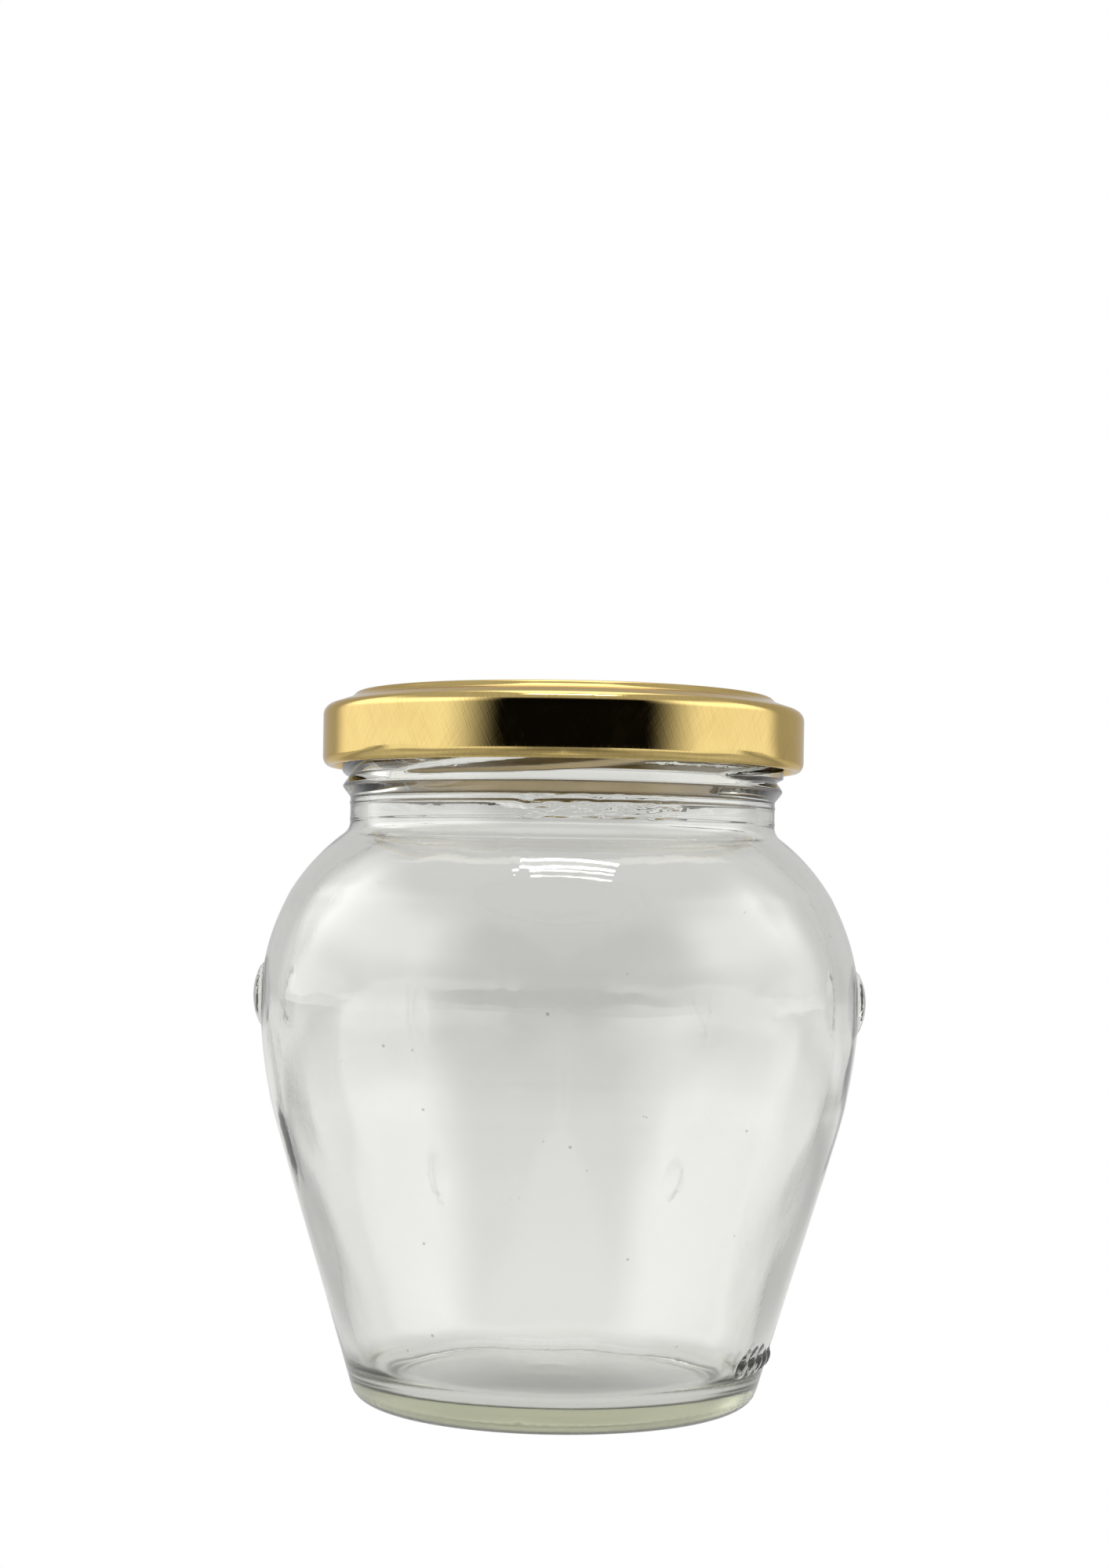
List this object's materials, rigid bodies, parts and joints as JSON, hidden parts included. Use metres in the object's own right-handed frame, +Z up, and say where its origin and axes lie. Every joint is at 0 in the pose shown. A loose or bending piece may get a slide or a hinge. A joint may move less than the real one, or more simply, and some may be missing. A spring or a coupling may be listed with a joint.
{
  "type": "storage jar",
  "caption": "Urn-shaped clear glass canning jar with a wide shoulder, side knobs, a threaded neck and a pressed metal twist-off lug cap with its sealing ring.",
  "frame": {"origin": "centre of the base, on the surface that the jar stands on", "axes": "+Z up along the jar's axis, +X through one side knob, -Y is the front"},
  "size_m": [0.085, 0.0826, 0.0973],
  "materials": {
    "clear_glass": "smooth, fire polished, slightly wavy",
    "gold_tinplate": "glossy gold lacquer on tinplate",
    "sealing_compound": "soft matte compound"
  },
  "bodies": {
    "jar": {"glass_jar": "clear_glass"},
    "seal": {"sealing_ring": "sealing_compound"},
    "lid": {"lid_shell": "gold_tinplate"}
  },
  "joints": [
    {"name": "lid_rise", "type": "slide", "parent": "jar", "child": "seal", "axis": [0, 0, 1], "range_m": [0, 0.012]},
    {"name": "lid_turn", "type": "hinge", "parent": "seal", "child": "lid", "pos_m": [0, 0, 0.088], "axis": [0, 0, 1], "range_deg": [0, 270]}
  ],
  "couplings": [
    {"joint": "lid_turn", "follows": "lid_rise", "rad_per_m": 392.7}
  ]
}
